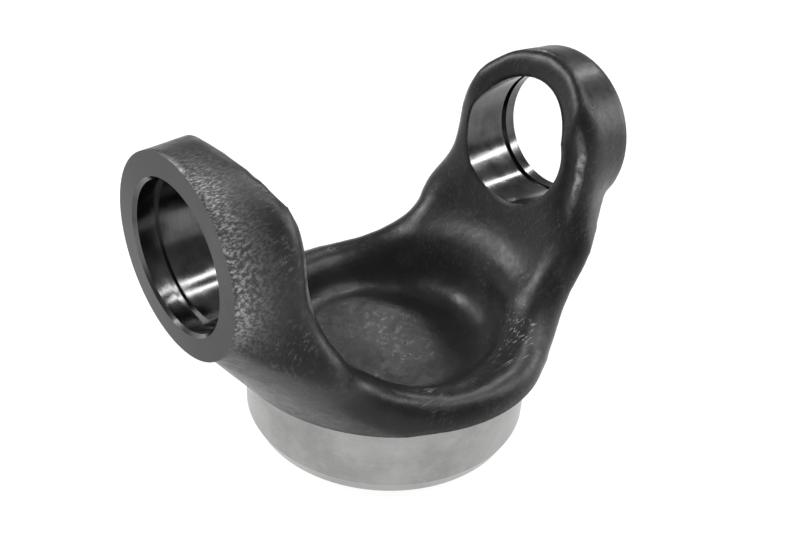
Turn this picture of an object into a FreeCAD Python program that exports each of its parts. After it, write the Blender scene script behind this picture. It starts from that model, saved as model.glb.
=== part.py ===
import FreeCAD, Part
import math
import os
from FreeCAD import Vector

# A forged steel weld yoke for a driveshaft: two bored ears on a round hub,
# with a turned seat below for the tube. Millimetres, +Z up, the origin at the
# centre of the seat's bottom face, the bores along X.

SEAT_RADIUS = 30.75
SEAT_HEIGHT = 18.8
SEAT_LEAD_HEIGHT = 2.9
SEAT_LEAD_INSET = 1.35

HUB_RADIUS = 34.6
WELD_BEVEL_HEIGHT = 1.1
WELD_BEVEL_INSET = 0.35

RECESS_RADIUS = 22.0
RECESS_DEPTH = 8.0
RECESS_DRAFT = 12.0
RECESS_FILLET = 3.5

BORE_RADIUS = 13.5
BORE_HEIGHT = 54.15
BORE_CHAMFER = 0.6
GROOVE_DEPTH = 0.75
GROOVE_WIDTH = 1.6
GROOVE_INSET = 3.2

EAR_SPAN = 98.4
BOSS_RADIUS = 18.4
BOSS_DRAFT = 4.1
PAD_HEIGHT = 9.5

INNER_FACE_X = 33.8
INNER_FACE_DRAFT = 9.9
INNER_FACE_TOP_DRAFT = 0.5
INNER_FACE_BLEND_RADIUS = 40.0
INNER_FACE_BLEND_DROP = 5.0
SADDLE_HEIGHT = 23.6
SADDLE_CORNER_RADIUS = 27.0
INNER_EDGE_RADIUS = 5.0

DISH_RADIUS = 24.5
DISH_HEIGHT = 16.5
DISH_WALL_DRAFT = 18.0
DISH_FILLET = 6.0

SCOOP_RADIUS = 22.0
SCOOP_HALF_WIDTH = 38.0
SCOOP_DEPTH = 2.6
SCOOP_ANGLE = 45.0

ARM_SHIFT = 1.054
ARM_NARROWING = 0.314
ARM_TOP = 80.0
EAR_DOME_X = 20.0
HUB_MIDDLE_X = 16.5
SEAT_OVERLAP = 2.0

FLANK_ANGLE = 26.5
FLANK_INSET = 0.35
FLANK_X = 31.0
FLANK_REACH = 57.2
ROOT_HEIGHTS = (15.0, 17.5, 20.0, 22.5, 25.0)

# The arms' sections above their roots: height, half-width at FLANK_X, and how
# much narrower that gets for each millimetre outward.
FLANK_BULGE = (
    (30.0, 24.3, 0.45),
    (34.5, 25.6, 0.43),
    (39.0, 24.9, 0.41),
    (44.0, 23.0, 0.39),
    (49.0, 21.0, 0.22),
)

TOUCH = 0.001
DOWNWARD = -90
FULL_TURN = 360


def xz_face(points):
    """A flat face in the XZ plane through the given (x, z) points."""
    corners = [Vector(x, 0, z) for x, z in points]
    return Part.Face(Part.makePolygon(corners + corners[:1]))


def turned(points):
    """The (radius, z) points turned round the vertical axis."""
    return xz_face(points).revolve(Vector(), Vector(0, 0, 1), FULL_TURN)


def both_sides(shape):
    """The shape and its mirror image across the YZ plane."""
    return [shape, shape.mirror(Vector(), Vector(1, 0, 0))]


def slope(degrees):
    return math.tan(math.radians(degrees))


def lies_on(edge, surface_solid):
    """True when the whole edge lies on the other solid."""
    span = edge.LastParameter - edge.FirstParameter
    points = [edge.valueAt(edge.FirstParameter + share * span) for share in (0.1, 0.5, 0.9)]
    return all(surface_solid.distToShape(Part.Vertex(point))[0] < TOUCH for point in points)


def hub_tangent():
    """Where a flank leaves the hub's side, and its half-width at FLANK_X."""
    angle = math.radians(FLANK_ANGLE)
    centre = FLANK_INSET / (1 - math.cos(angle))
    side_radius = HUB_RADIUS - centre
    x = side_radius * math.sin(angle)
    y = centre + side_radius * math.cos(angle)
    return x, y - slope(FLANK_ANGLE) * (FLANK_X - x)


def plan_wire(z, half_width, taper):
    """The yoke's outline in plan: hub sides joined by straight flanks."""
    leave_x, _ = hub_tangent()
    near = half_width + taper * (FLANK_X - leave_x)
    far = half_width - taper * (FLANK_REACH - FLANK_X)

    def at(x, y):
        return Vector(x, y, z)

    def side(sign):
        ends = [at(leave_x, sign * near), at(-leave_x, sign * near)]
        return Part.Arc(ends[0], at(0, sign * HUB_RADIUS), ends[1]).toShape()

    edges = [side(1), side(-1)]
    for x_sign in (1, -1):
        tip = at(x_sign * FLANK_REACH, far)
        low_tip = at(x_sign * FLANK_REACH, -far)
        edges.append(Part.makeLine(at(x_sign * leave_x, near), tip))
        edges.append(Part.makeLine(tip, low_tip))
        edges.append(Part.makeLine(low_tip, at(x_sign * leave_x, -near)))
    return Part.Wire(Part.__sortEdges__(edges))


def flank_band():
    """The outline lofted up to the bore height: hub sides and arm flanks."""
    _, root_half_width = hub_tangent()
    boss_half_width = BOSS_RADIUS + slope(BOSS_DRAFT) * (EAR_SPAN / 2 - FLANK_X)
    root = [plan_wire(z, root_half_width, slope(FLANK_ANGLE)) for z in ROOT_HEIGHTS]
    bulge = [plan_wire(z, half_width, taper) for z, half_width, taper in FLANK_BULGE]
    boss = plan_wire(BORE_HEIGHT, boss_half_width, slope(BOSS_DRAFT))
    top_height, top_half_width, top_taper = FLANK_BULGE[-1]
    mirrored = plan_wire(2 * BORE_HEIGHT - top_height, top_half_width, top_taper)
    band = Part.makeLoft(root + bulge + [boss, mirrored], True, False)
    block = Part.makeBox(4 * FLANK_REACH, 4 * HUB_RADIUS, BORE_HEIGHT - ROOT_HEIGHTS[0])
    block.translate(Vector(-2 * FLANK_REACH, -2 * HUB_RADIUS, ROOT_HEIGHTS[0]))
    return band.common(block)


def boss_cone(near_x, far_x, draft):
    """A drafted boss round the bore's axis, BOSS_RADIUS at the ear's outer face."""
    def radius(x):
        return BOSS_RADIUS + slope(draft) * (EAR_SPAN / 2 - x)

    corners = [(near_x, BORE_HEIGHT), (near_x, BORE_HEIGHT - radius(near_x)),
               (far_x, BORE_HEIGHT - radius(far_x)), (far_x, BORE_HEIGHT)]
    return xz_face(corners).revolve(Vector(0, 0, BORE_HEIGHT), Vector(1, 0, 0), FULL_TURN)


def ear_dome():
    """The upper half of the boss, which rounds off the top of the ear."""
    cone = boss_cone(EAR_DOME_X, FLANK_REACH, BOSS_DRAFT)
    block = Part.makeBox(4 * FLANK_REACH, 4 * BOSS_RADIUS, 2 * BOSS_RADIUS)
    block.translate(Vector(0, -2 * BOSS_RADIUS, BORE_HEIGHT))
    return cone.common(block)


def around(centre, radius, degrees):
    """The (x, z) point at this angle on a circle about the centre."""
    turn = math.radians(degrees)
    return centre[0] + radius * math.cos(turn), centre[1] + radius * math.sin(turn)


def saddle_corner():
    """The centre (x, z) of the round corner between the floor and an inner face."""
    z = SADDLE_HEIGHT + SADDLE_CORNER_RADIUS
    face_x = INNER_FACE_X + slope(INNER_FACE_DRAFT) * (z - BORE_HEIGHT)
    return face_x - SADDLE_CORNER_RADIUS / math.cos(math.radians(INNER_FACE_DRAFT)), z


def channel():
    """The space between the ears: a flat floor, round corners, and inner faces
    that are drafted up to the bores and nearly upright above them."""
    depth = 4 * HUB_RADIUS
    corner = saddle_corner()
    bend_start = (INNER_FACE_X - slope(INNER_FACE_DRAFT) * INNER_FACE_BLEND_DROP,
                  BORE_HEIGHT - INNER_FACE_BLEND_DROP)
    bend = around(bend_start, INNER_FACE_BLEND_RADIUS, 180 - INNER_FACE_DRAFT)
    middle_draft = (INNER_FACE_DRAFT + INNER_FACE_TOP_DRAFT) / 2
    foot_turns = (DOWNWARD, (DOWNWARD - INNER_FACE_DRAFT) / 2, -INNER_FACE_DRAFT)

    def at(point, side):
        return Vector(side * point[0], -depth / 2, point[1])

    def wall(side):
        foot = [at(around(corner, SADDLE_CORNER_RADIUS, turn), side) for turn in foot_turns]
        blend = [at(around(bend, INNER_FACE_BLEND_RADIUS, -turn), side)
                 for turn in (INNER_FACE_DRAFT, middle_draft, INNER_FACE_TOP_DRAFT)]
        top_x = abs(blend[2].x) + slope(INNER_FACE_TOP_DRAFT) * (ARM_TOP - blend[2].z)
        top = at((top_x, ARM_TOP), side)
        edges = [Part.Arc(*foot).toShape(), Part.makeLine(foot[2], blend[0]),
                 Part.Arc(*blend).toShape(), Part.makeLine(blend[2], top)]
        return edges, foot[0], top

    right, right_foot, right_top = wall(1)
    left, left_foot, left_top = wall(-1)
    joins = [Part.makeLine(left_foot, right_foot), Part.makeLine(left_top, right_top)]
    outline = Part.Wire(Part.__sortEdges__(right + left + joins))
    return Part.Face(outline).extrude(Vector(0, depth, 0))


def scoop():
    """The hollow in the root of an ear: an egg shape sunk into the round corner."""
    offset = SADDLE_CORNER_RADIUS + SCOOP_DEPTH - SCOOP_RADIUS
    x, z = around(saddle_corner(), offset, -SCOOP_ANGLE)
    oval = Part.Ellipse(Vector(0, SCOOP_HALF_WIDTH, 0), Vector(SCOOP_RADIUS, 0, 0), Vector())
    side = Part.ArcOfEllipse(oval, 0, math.pi).toShape()
    axis_line = Part.makeLine(Vector(0, -SCOOP_HALF_WIDTH, 0), Vector(0, SCOOP_HALF_WIDTH, 0))
    egg = Part.Face(Part.Wire([side, axis_line])).revolve(Vector(), Vector(0, 1, 0), FULL_TURN)
    egg.translate(Vector(x, 0, z))
    return egg


def rounded_band():
    """The band with the channel cut and its inner edges rounded, all in one loop."""
    gap = channel()
    band = flank_band().fuse(both_sides(ear_dome())).removeSplitter()
    band = band.cut(gap).removeSplitter().Solids[0]
    inner_edges = [edge for edge in band.Edges if is_inner_edge(band, edge, gap)]
    return band.makeFillet(INNER_EDGE_RADIUS, inner_edges)


def is_inner_edge(band, edge, gap):
    """True for an edge between the channel's surface and the band's outside."""
    if not lies_on(edge, gap):
        return False
    walls = band.ancestorsOfType(edge, Part.Face)
    return sum(1 for wall in walls if lies_on_face(wall, gap)) == 1


def lies_on_face(wall, gap):
    u_min, u_max, v_min, v_max = wall.ParameterRange
    middle = wall.valueAt((u_min + u_max) / 2, (v_min + v_max) / 2)
    return gap.distToShape(Part.Vertex(middle))[0] < TOUCH


def arm_cone():
    """The smooth outer side of an arm: a slanting cone that starts as the hub's edge."""
    rise = ARM_TOP - SEAT_HEIGHT
    base = Part.Circle(Vector(0, 0, SEAT_HEIGHT), Vector(0, 0, 1), HUB_RADIUS)
    tip_centre = Vector(ARM_SHIFT * rise, 0, ARM_TOP)
    tip = Part.Circle(tip_centre, Vector(0, 0, 1), HUB_RADIUS - ARM_NARROWING * rise)
    return Part.makeLoft([Part.Wire([base.toShape()]), Part.Wire([tip.toShape()])], True, True)


def outer_limit():
    """Everything inside the arms' outer sides, between the two machined ear faces."""
    width = 4 * HUB_RADIUS
    middle = Part.makeBox(2 * HUB_MIDDLE_X, width, ARM_TOP)
    middle.translate(Vector(-HUB_MIDDLE_X, -width / 2, 0))
    slab = Part.makeBox(EAR_SPAN, width, ARM_TOP - SEAT_HEIGHT)
    slab.translate(Vector(-EAR_SPAN / 2, -width / 2, SEAT_HEIGHT))
    return middle.fuse(both_sides(arm_cone())).common(slab)


def ear_pads():
    """The raised rings round the bores that carry the machined outer faces."""
    return both_sides(boss_cone(EAR_SPAN / 2 - PAD_HEIGHT, EAR_SPAN / 2, BOSS_DRAFT))


def tube_seat():
    """The turned seat the tube slides over, with a lead-in at its lower end."""
    lead_radius = SEAT_RADIUS - SEAT_LEAD_INSET
    overlap = SEAT_HEIGHT + SEAT_OVERLAP
    return turned([(0, 0), (lead_radius, 0), (SEAT_RADIUS, SEAT_LEAD_HEIGHT),
                   (SEAT_RADIUS, overlap), (0, overlap)])


def weld_bevel():
    """A ring that takes a narrow bevel off the hub's lower edge."""
    low = SEAT_HEIGHT - WELD_BEVEL_HEIGHT
    high = SEAT_HEIGHT + WELD_BEVEL_HEIGHT
    inner = HUB_RADIUS - 2 * WELD_BEVEL_INSET
    return turned([(inner, low), (HUB_RADIUS + WELD_BEVEL_INSET, low),
                   (HUB_RADIUS + WELD_BEVEL_INSET, high), (HUB_RADIUS, high)])


def dish():
    """The round hollow in the saddle, with a drafted wall and a rounded foot."""
    top = ARM_TOP
    spread = slope(DISH_WALL_DRAFT) * (SADDLE_HEIGHT - DISH_HEIGHT)
    foot = DISH_RADIUS - spread
    wide = DISH_RADIUS + slope(DISH_WALL_DRAFT) * (top - SADDLE_HEIGHT)
    bowl = turned([(0, DISH_HEIGHT), (foot, DISH_HEIGHT), (wide, top), (0, top)])
    foot_edges = [edge for edge in bowl.Edges if is_ring(edge, foot, DISH_HEIGHT)]
    return bowl.makeFillet(DISH_FILLET, foot_edges)


def is_ring(edge, radius, z):
    """True for a full circle of this radius at this height."""
    if not isinstance(edge.Curve, Part.Circle):
        return False
    return abs(edge.Curve.Radius - radius) < TOUCH and abs(edge.Curve.Center.z - z) < TOUCH


def recess():
    """The forged hollow under the seat."""
    roof = RECESS_RADIUS - slope(RECESS_DRAFT) * RECESS_DEPTH
    hollow = turned([(0, 0), (RECESS_RADIUS, 0), (roof, RECESS_DEPTH), (0, RECESS_DEPTH)])
    roof_edges = [edge for edge in hollow.Edges if is_ring(edge, roof, RECESS_DEPTH)]
    return hollow.makeFillet(RECESS_FILLET, roof_edges)


def bore():
    """One ear's bore: the cap seat, its outer chamfer and the snap ring's groove."""
    face = EAR_SPAN / 2
    groove = face - GROOVE_INSET
    near = EAR_DOME_X
    profile = [
        (near, 0), (near, BORE_RADIUS),
        (groove - GROOVE_WIDTH, BORE_RADIUS),
        (groove - GROOVE_WIDTH, BORE_RADIUS + GROOVE_DEPTH),
        (groove, BORE_RADIUS + GROOVE_DEPTH),
        (groove, BORE_RADIUS),
        (face - BORE_CHAMFER, BORE_RADIUS),
        (face, BORE_RADIUS + BORE_CHAMFER),
        (face + 1, BORE_RADIUS + BORE_CHAMFER),
        (face + 1, 0),
    ]
    corners = [(x, BORE_HEIGHT + radius) for x, radius in profile]
    return xz_face(corners).revolve(Vector(0, 0, BORE_HEIGHT), Vector(1, 0, 0), FULL_TURN)


def build_yoke():
    body = rounded_band().common(outer_limit())
    body = body.fuse(ear_pads() + [tube_seat()]).removeSplitter()
    body = body.cut([weld_bevel(), dish(), recess()] + both_sides(scoop()) + both_sides(bore()))
    return body.removeSplitter()


def main():
    os.makedirs("parts", exist_ok=True)
    yoke = build_yoke()
    print("valid", yoke.isValid(), "solids", len(yoke.Solids), "volume", round(yoke.Volume))
    yoke.Solids[0].exportStep("parts/yoke.step")


main()
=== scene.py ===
import math

import bmesh
import bpy
from mathutils import Matrix, Vector


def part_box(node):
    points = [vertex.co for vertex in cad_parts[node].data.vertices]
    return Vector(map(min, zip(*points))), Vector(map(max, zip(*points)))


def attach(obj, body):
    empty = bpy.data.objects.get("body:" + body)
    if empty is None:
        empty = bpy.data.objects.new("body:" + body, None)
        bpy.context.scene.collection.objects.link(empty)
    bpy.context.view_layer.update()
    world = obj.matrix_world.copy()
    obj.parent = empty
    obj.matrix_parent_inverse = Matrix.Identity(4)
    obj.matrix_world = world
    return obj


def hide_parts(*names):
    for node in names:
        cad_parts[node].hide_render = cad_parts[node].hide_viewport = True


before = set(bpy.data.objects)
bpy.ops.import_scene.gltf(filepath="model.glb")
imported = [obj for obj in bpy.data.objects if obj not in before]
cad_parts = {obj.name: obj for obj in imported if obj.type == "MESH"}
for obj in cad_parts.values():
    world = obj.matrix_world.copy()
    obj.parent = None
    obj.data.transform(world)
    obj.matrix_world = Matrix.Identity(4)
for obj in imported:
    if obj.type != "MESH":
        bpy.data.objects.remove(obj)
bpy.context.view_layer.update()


# ---- The yoke -------------------------------------------------------------
# One steel forging with two bored ears over a dished hub. It is struck in a
# die and left black, and then only its ear faces, bores and tube seat are
# turned and bored bright.

_, yoke_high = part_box("yoke")
ear_face_x = yoke_high.x
bore_height = 0.05415
bore_radius = 0.0135
groove_depth = 0.00075
groove_floor_x = 0.0444
seat_height = 0.0188
lead_radius = 0.0294
recess_radius = 0.022
touch = 0.00006
merge_distance = 0.000002
crease_angle = math.radians(24)
skin_step = 0.0013
division_rounds = 7
skin_rounds = 8
dish_rounds = 30
dish_reach = 0.0290
dish_low = 0.0120
dish_high = 0.0340

SKIN, EAR_FACE, BORE, SEAT = range(4)


def finish_of(face):
    """Which finish a face has, from where all its corners lie."""
    corners = [corner.co for corner in face.verts]
    from_axis = [math.hypot(c.x, c.y) for c in corners]
    from_bore = [math.hypot(c.y, c.z - bore_height) for c in corners]
    if all(abs(c.x) > ear_face_x - touch for c in corners):
        return EAR_FACE
    if all(reach < bore_radius + touch for reach in from_bore):
        return BORE
    in_groove = all(abs(c.x) > groove_floor_x - touch for c in corners)
    if in_groove and all(reach < bore_radius + groove_depth + touch for reach in from_bore):
        return BORE
    if all(c.z < touch for c in corners) and min(from_axis) > recess_radius - touch:
        return SEAT
    if all(c.z < seat_height + touch for c in corners) and min(from_axis) > lead_radius - touch:
        return SEAT
    return SKIN


def divide_skin(shape):
    """Splits the long edges of the skin, so that its creases can be softened."""
    for _ in range(division_rounds):
        long_edges = {edge for face in shape.faces if face.material_index == SKIN
                      for edge in face.edges if edge.calc_length() > skin_step}
        if not long_edges:
            return
        bmesh.ops.subdivide_edges(shape, edges=list(long_edges), cuts=1, use_grid_fill=True)
        bmesh.ops.triangulate(shape, faces=[face for face in shape.faces if len(face.verts) > 3])


def soften(shape, rounds, chosen):
    """Evens out the chosen corners of the skin, away from the machined faces."""
    corners = [corner for corner in shape.verts if chosen(corner.co)
               and all(face.material_index == SKIN for face in corner.link_faces)]
    for _ in range(rounds):
        bmesh.ops.smooth_vert(shape, verts=corners, factor=0.5,
                              use_axis_x=True, use_axis_y=True, use_axis_z=True)


def in_dish(place):
    return math.hypot(place.x, place.y) < dish_reach and dish_low < place.z < dish_high


def dressed_copy(node, name):
    """A closed copy of the forging, sorted by finish, with the soft creases of a struck skin."""
    shape = bmesh.new()
    shape.from_mesh(node.data)
    bmesh.ops.remove_doubles(shape, verts=shape.verts, dist=merge_distance)
    for face in shape.faces:
        face.material_index = finish_of(face)
        face.smooth = True
    divide_skin(shape)
    soften(shape, skin_rounds, lambda place: True)
    soften(shape, dish_rounds, in_dish)
    mesh = bpy.data.meshes.new(name)
    shape.to_mesh(mesh)
    shape.free()
    if "custom_normal" in mesh.attributes:
        mesh.attributes.remove(mesh.attributes["custom_normal"])
    mesh.set_sharp_from_angle(angle=crease_angle)
    piece = bpy.data.objects.new(name, mesh)
    bpy.context.scene.collection.objects.link(piece)
    evened = piece.modifiers.new("even_normals", "WEIGHTED_NORMAL")
    evened.keep_sharp = True
    return piece


yoke = dressed_copy(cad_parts["yoke"], "forged_yoke")


# ---- The black forged skin ------------------------------------------------
# Scale and thin black paint on the faces that were only struck in the die.
# It is semi-gloss and slightly uneven, scuffed grey where it was handled, and
# worn through to steel on sharp edges. Bare steel along the ridges of the ears
# is a painted highlight, partly wear, and the rim of the left ear has a painted sheen.

black_scale = (0.011, 0.0112, 0.012)
scuffed_grey = (0.105, 0.105, 0.107)
bare_steel = (0.42, 0.415, 0.41)
swell_size = 0.011
scale_size = 0.0016
pore_size = 0.00055
scuff_size = 0.0014
fleck_size = 0.0008
scratch_size = 0.0007
edge_width = 0.0007
struck_radius = 0.0022


def plug(tree, value, socket):
    """Links an output into a socket, or writes a plain value into it."""
    if isinstance(value, bpy.types.NodeSocket):
        tree.links.new(value, socket)
    else:
        socket.default_value = value


def calc(tree, operation, *values):
    made = tree.nodes.new("ShaderNodeMath")
    made.operation = operation
    for value, socket in zip(values, made.inputs):
        plug(tree, value, socket)
    return made.outputs["Value"]


def product(tree, first, *others):
    for other in others:
        first = calc(tree, "MULTIPLY", first, other)
    return first


def most(tree, first, *others):
    for other in others:
        first = calc(tree, "MAXIMUM", first, other)
    return first


def distance(tree, first, second):
    """The length of two offsets at right angles."""
    return calc(tree, "SQRT", calc(tree, "ADD", product(tree, first, first), product(tree, second, second)))


def ease(tree, value, low, high, start=0.0, end=1.0):
    """The value, taken smoothly from low..high to start..end."""
    made = tree.nodes.new("ShaderNodeMapRange")
    made.interpolation_type = "SMOOTHSTEP"
    settings = {"Value": value, "From Min": low, "From Max": high, "To Min": start, "To Max": end}
    for name, setting in settings.items():
        plug(tree, setting, made.inputs[name])
    return made.outputs["Result"]


def grain(tree, place, size, detail=4.0, roughness=0.55):
    """Soft random grain, with grains of about this size in metres."""
    made = tree.nodes.new("ShaderNodeTexNoise")
    settings = {"Vector": place, "Scale": 1 / size, "Detail": detail, "Roughness": roughness}
    for name, setting in settings.items():
        plug(tree, setting, made.inputs[name])
    return made.outputs["Fac"]


def stretched(tree, place, turn, pull):
    """The place turned, then pulled out along its axes, for scratches and brush marks."""
    made = tree.nodes.new("ShaderNodeMapping")
    plug(tree, place, made.inputs["Vector"])
    made.inputs["Rotation"].default_value = [math.radians(angle) for angle in turn]
    made.inputs["Scale"].default_value = pull
    return made.outputs["Vector"]


def axes(tree, vector):
    made = tree.nodes.new("ShaderNodeSeparateXYZ")
    plug(tree, vector, made.inputs["Vector"])
    return [made.outputs[name] for name in "XYZ"]


def shades(tree, share, *colours):
    """A run of colours, evenly spaced over 0..1 of the share."""
    made = tree.nodes.new("ShaderNodeValToRGB")
    plug(tree, share, made.inputs["Fac"])
    stops = made.color_ramp.elements
    stops[0].color = (*colours[0], 1)
    stops[1].color = (*colours[-1], 1)
    for number, colour in enumerate(colours[1:-1], 1):
        stops.new(number / (len(colours) - 1)).color = (*colour, 1)
    return made.outputs["Color"]


def relief(tree, height, depth, strength=1.0, under=None):
    """A bumped normal for a height of 0..1 over this depth in metres."""
    made = tree.nodes.new("ShaderNodeBump")
    plug(tree, height, made.inputs["Height"])
    made.inputs["Distance"].default_value = depth
    made.inputs["Strength"].default_value = strength
    if under is not None:
        plug(tree, under, made.inputs["Normal"])
    return made.outputs["Normal"]


def new_finish(name):
    """A material, its node tree, its shader, and its place on the piece."""
    material = bpy.data.materials.new(name)
    material.use_nodes = True
    tree = material.node_tree
    place = tree.nodes.new("ShaderNodeTexCoord").outputs["Object"]
    return material, tree, tree.nodes["Principled BSDF"], place


def sharp_edges(tree, radius, start, end):
    """1 near sharp edges, from how far the normal turns within the radius."""
    round_normal = tree.nodes.new("ShaderNodeBevel")
    round_normal.samples = 8
    round_normal.inputs["Radius"].default_value = radius
    plain_normal = tree.nodes.new("ShaderNodeNewGeometry").outputs["Normal"]
    made = tree.nodes.new("ShaderNodeVectorMath")
    made.operation = "DOT_PRODUCT"
    plug(tree, round_normal.outputs["Normal"], made.inputs[0])
    plug(tree, plain_normal, made.inputs[1])
    return ease(tree, made.outputs["Value"], start, end, 1.0, 0.0)


def ear_ridge_highlight_and_wear(tree, place):
    """1 along the rounded inner edges of the ears, where a normal faces between
    the gap and the open side, for a painted highlight there that is partly wear."""
    x, _, z = axes(tree, place)
    normal = axes(tree, tree.nodes.new("ShaderNodeNewGeometry").outputs["Normal"])
    inward = calc(tree, "MULTIPLY", normal[0], calc(tree, "SIGN", x))
    inward = calc(tree, "MAXIMUM", calc(tree, "MULTIPLY", inward, -1.0), 0.0)
    sideways = calc(tree, "ABSOLUTE", normal[1])
    corner = product(tree, inward, sideways, 2.0)
    return product(tree, ease(tree, corner, 0.86, 0.99), ease(tree, z, 0.030, 0.040))


def ear_scuffs_and_painted_sheen(tree, place, swells):
    """Scuffs on the near side of the left ear, and a painted sheen on its rim: a bright band, broken into
    flecks, that grows towards the ear face.
    """
    x, y, z = axes(tree, place)
    outward = calc(tree, "ABSOLUTE", x)
    near_left_side = product(tree, ease(tree, y, 0.006, -0.008), ease(tree, x, 0.020, -0.020))
    side = product(tree, ease(tree, outward, 0.030, 0.040), ease(tree, z, 0.026, 0.040), near_left_side)
    # Painted sheen: this rim band brightens towards the ear face and towards the top.
    rim = product(tree, ease(tree, outward, 0.0380, 0.0492), ease(tree, z, 0.038, 0.050), near_left_side)
    rubbed = stretched(tree, place, (20, 35, 10), (1.0, 3.2, 1.0))
    scuffs = ease(tree, grain(tree, rubbed, scuff_size, detail=7.0, roughness=0.75), 0.50, 0.68)
    outside_dish = ease(tree, distance(tree, x, y), 0.020, 0.027)
    scuffs = product(tree, scuffs, ease(tree, swells, 0.36, 0.56), outside_dish)
    flecks = ease(tree, grain(tree, rubbed, fleck_size, detail=6.0, roughness=0.7), 0.40, 0.62, 0.22, 0.90)
    return most(tree, product(tree, scuffs, ease(tree, side, 0.0, 1.0, 0.16, 0.40)),
                product(tree, rim, flecks))


def rim_scratches(tree, place, swells):
    """Short scratches on the front rim of the dish."""
    x, y, z = axes(tree, place)
    from_axis = distance(tree, x, y)
    dragged = stretched(tree, place, (0, 15, 52), (0.06, 1.6, 1.6))
    scratches = ease(tree, grain(tree, dragged, scratch_size, detail=2.0), 0.61, 0.67)
    ring = product(tree, ease(tree, from_axis, 0.0225, 0.0255), ease(tree, from_axis, 0.0345, 0.031))
    level = product(tree, ease(tree, z, 0.0190, 0.0215), ease(tree, z, 0.033, 0.029))
    front = ease(tree, y, 0.002, -0.008)
    return product(tree, scratches, ring, level, front, ease(tree, swells, 0.46, 0.54))


def black_skin():
    material, tree, shader, place = new_finish("black_forged_skin")
    swells = grain(tree, place, swell_size, detail=3.0)
    scale = grain(tree, place, scale_size, detail=6.0, roughness=0.65)
    pores = grain(tree, place, pore_size, detail=3.0)

    # Painted highlight, partly wear: bare steel along the inner ridges of the ears, where they catch the light.
    ridges = product(tree, ear_ridge_highlight_and_wear(tree, place), ease(tree, scale, 0.30, 0.62, 0.35, 1.0))
    edges = product(tree, sharp_edges(tree, edge_width, 0.80, 0.96), ease(tree, scale, 0.40, 0.60))
    # Worn steel and scuffs, together with the painted highlight along the ear ridges and the painted sheen on
    # the left ear's rim.
    wear_and_painted_light = most(tree, product(tree, ridges, 0.80), product(tree, edges, 0.50),
                product(tree, rim_scratches(tree, place, swells), 0.62), ear_scuffs_and_painted_sheen(tree, place, swells))

    plug(tree, shades(tree, wear_and_painted_light, black_scale, scuffed_grey, bare_steel), shader.inputs["Base Color"])
    plug(tree, ease(tree, wear_and_painted_light, 0.35, 0.9, 0.0, 0.9), shader.inputs["Metallic"])
    rough = calc(tree, "ADD", ease(tree, swells, 0.3, 0.7, 0.29, 0.38), ease(tree, scale, 0.3, 0.7, -0.05, 0.06))
    plug(tree, calc(tree, "ADD", rough, product(tree, wear_and_painted_light, 0.12)), shader.inputs["Roughness"])
    shader.inputs["Specular IOR Level"].default_value = 0.26

    struck = tree.nodes.new("ShaderNodeBevel")
    struck.samples = 8
    struck.inputs["Radius"].default_value = struck_radius
    uneven = relief(tree, swells, 0.0004, 0.5, under=struck.outputs["Normal"])
    scaly = relief(tree, scale, 0.00009, 0.6, under=uneven)
    plug(tree, relief(tree, pores, 0.00003, 0.35, under=scaly), shader.inputs["Normal"])
    return material


yoke.data.materials.append(black_skin())


# ---- The turned and bored steel -------------------------------------------
# The ear faces are faced off round the bores, the bores are bored for the
# bearing caps, and the tube seat is turned with its shoulder and weld bevel.
# All three keep fine tool marks that run round their own axis.

def round_tangent(tree, place, axis, centre):
    """The direction that runs round an axis through the centre."""
    from_centre = tree.nodes.new("ShaderNodeVectorMath")
    from_centre.operation = "SUBTRACT"
    plug(tree, place, from_centre.inputs[0])
    from_centre.inputs[1].default_value = centre
    made = tree.nodes.new("ShaderNodeVectorMath")
    made.operation = "CROSS_PRODUCT"
    made.inputs[0].default_value = axis
    plug(tree, from_centre.outputs["Vector"], made.inputs[1])
    return made.outputs["Vector"]


def tool_marks(tree, along, pitch, place):
    """Fine grooves side by side, of an uneven depth, 0..1 high."""
    line = tree.nodes.new("ShaderNodeCombineXYZ")
    plug(tree, along, line.inputs["X"])
    grooves = grain(tree, line.outputs["Vector"], pitch, detail=5.0, roughness=0.7)
    return calc(tree, "ADD", product(tree, grooves, 0.85), product(tree, grain(tree, place, 0.002), 0.15))


def from_bore(tree, place):
    _, y, z = axes(tree, place)
    return distance(tree, y, calc(tree, "SUBTRACT", z, bore_height))


def along_bore(tree, place):
    return axes(tree, place)[0]


def up_seat(tree, place):
    return axes(tree, place)[2]


def turned_steel(name, colours, roughness, metal, turn_line, across, pitch, depth, stretch):
    """Machined steel with tool marks side by side across it, turned about a line."""
    material, tree, shader, place = new_finish(name)
    marks = tool_marks(tree, across(tree, place), pitch, place)
    stain = grain(tree, place, stain_size, detail=5.0)
    share = calc(tree, "ADD", product(tree, marks, 0.45), product(tree, stain, 0.55))
    plug(tree, shades(tree, ease(tree, share, 0.32, 0.68), *colours), shader.inputs["Base Color"])
    shader.inputs["Metallic"].default_value = metal
    plug(tree, ease(tree, stain, 0.3, 0.7, roughness - 0.04, roughness + 0.06), shader.inputs["Roughness"])
    shader.inputs["Anisotropic"].default_value = stretch
    plug(tree, round_tangent(tree, place, *turn_line), shader.inputs["Tangent"])
    plug(tree, relief(tree, marks, depth, 0.6), shader.inputs["Normal"])
    return material


stain_size = 0.008
bore_line = ((1, 0, 0), (0, 0, bore_height))
seat_line = ((0, 0, 1), (0, 0, 0))
yoke.data.materials.append(turned_steel(
    "faced_ear", ((0.018, 0.0185, 0.0195), (0.055, 0.056, 0.058)), 0.34, 0.75,
    bore_line, from_bore, 0.00035, 0.00003, 0.55))
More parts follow.
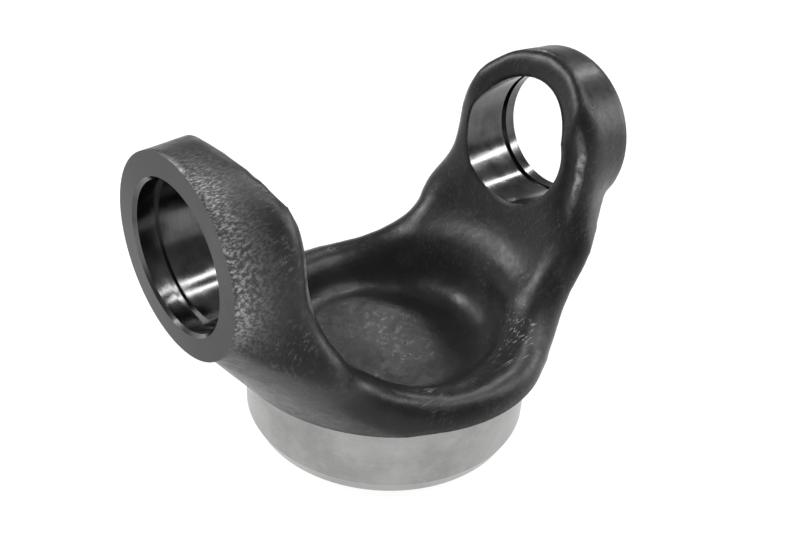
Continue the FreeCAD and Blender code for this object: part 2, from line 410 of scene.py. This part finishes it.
# The bores are given a dark steel colour that stands in for the shade inside them: painted shade.
yoke.data.materials.append(turned_steel(
    "bored_steel_painted_shade", ((0.055, 0.056, 0.055), (0.13, 0.131, 0.129)), 0.15, 1.0,
    bore_line, along_bore, 0.0004, 0.00001, 0.35))
yoke.data.materials.append(turned_steel(
    "turned_seat", ((0.27, 0.27, 0.266), (0.40, 0.40, 0.395)), 0.28, 1.0,
    seat_line, up_seat, 0.0003, 0.00002, 0.45))

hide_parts("yoke")
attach(yoke, "root")


# ---- The floor and the light ----------------------------------------------
# A white sweep and a white horizon under a dim ceiling, with soft lamps all
# round and two long strips overhead. The floor keeps a faint shadow.

floor_size = 3.0
half = floor_size / 2
floor_mesh = bpy.data.meshes.new("floor")
floor_mesh.from_pydata([(-half, -half, 0), (half, -half, 0), (half, half, 0), (-half, half, 0)],
                       [], [(0, 1, 2, 3)])
floor = bpy.data.objects.new("floor", floor_mesh)
bpy.context.scene.collection.objects.link(floor)


def seen_share(tree):
    """1 for the rays that look at the background, straight or in a reflection."""
    path = tree.nodes.new("ShaderNodeLightPath")
    looks = calc(tree, "ADD", path.outputs["Is Camera Ray"], path.outputs["Is Glossy Ray"])
    return calc(tree, "MINIMUM", calc(tree, "ADD", looks, path.outputs["Is Transmission Ray"]), 1.0)


def white_floor():
    material, tree, shader, _ = new_finish("white_floor")
    shader.inputs["Base Color"].default_value = (0.86, 0.86, 0.86, 1)
    shader.inputs["Roughness"].default_value = 1.0
    glow = tree.nodes.new("ShaderNodeEmission")
    glow.inputs["Strength"].default_value = 1.15
    mixed = tree.nodes.new("ShaderNodeMixShader")
    plug(tree, product(tree, seen_share(tree), 0.80), mixed.inputs["Fac"])
    tree.links.new(shader.outputs["BSDF"], mixed.inputs[1])
    tree.links.new(glow.outputs["Emission"], mixed.inputs[2])
    tree.links.new(mixed.outputs["Shader"], tree.nodes["Material Output"].inputs["Surface"])
    return material


floor.data.materials.append(white_floor())

world = bpy.data.worlds.new("white_surround")
world.use_nodes = True
bpy.context.scene.world = world
surround = world.node_tree.nodes["Background"]
surround.inputs["Color"].default_value = (1, 1, 1, 1)
sky_height = axes(world.node_tree, world.node_tree.nodes.new("ShaderNodeTexCoord").outputs["Generated"])[2]
horizon = ease(world.node_tree, sky_height, 0.04, 0.30, 1.0, 0.0)
white_share = product(world.node_tree, seen_share(world.node_tree), horizon)
plug(world.node_tree, ease(world.node_tree, white_share, 0.0, 1.0, 0.28, 1.0), surround.inputs["Strength"])


def lamp(name, place, aim, width, height, power):
    light = bpy.data.lights.new(name, "AREA")
    light.shape = "RECTANGLE"
    light.size = width
    light.size_y = height
    light.energy = power
    made = bpy.data.objects.new(name, light)
    made.location = place
    made.rotation_euler = (Vector(aim) - Vector(place)).to_track_quat("-Z", "Y").to_euler()
    bpy.context.scene.collection.objects.link(made)


middle = (0, 0, 0.04)
lamp("back_left_lamp", (-0.30, 0.40, 0.44), middle, 0.30, 0.30, 3.6)
lamp("left_strip_lamp", (0.34, 0.03, 0.50), middle, 0.035, 0.50, 1.5)
lamp("right_strip_lamp", (0.34, -0.24, 0.46), middle, 0.035, 0.50, 1.5)
lamp("low_right_lamp", (0.62, -0.20, 0.15), middle, 0.22, 0.22, 0.9)
lamp("front_left_lamp", (-0.52, -0.36, 0.15), middle, 0.12, 0.12, 0.7)
lamp("back_right_lamp", (0.35, 0.38, 0.37), middle, 0.07, 0.07, 0.22)


# ---- The camera -----------------------------------------------------------
# It stands to the front left and looks down on the saddle, slightly tilted.

azimuth, elevation, roll = (math.radians(angle) for angle in (-43.30, 31.93, 3.72))
aim = Vector((0.00038, -0.00220, 0.03379))
stand_off = 0.1917

back = Vector((math.sin(azimuth) * math.cos(elevation), -math.cos(azimuth) * math.cos(elevation),
               math.sin(elevation)))
level = Vector((math.cos(azimuth), math.sin(azimuth), 0))
right = level * math.cos(roll) + back.cross(level) * math.sin(roll)
camera_data = bpy.data.cameras.new("camera")
camera_data.sensor_width = 36.0
camera_data.lens = 41.68
camera_data.clip_start = 0.01
camera = bpy.data.objects.new("camera", camera_data)
camera.matrix_world = Matrix.Translation(aim + back * stand_off) @ Matrix(
    (right, back.cross(right), back)).transposed().to_4x4()
bpy.context.scene.collection.objects.link(camera)
bpy.context.scene.camera = camera
bpy.context.scene.view_settings.view_transform = "Standard"
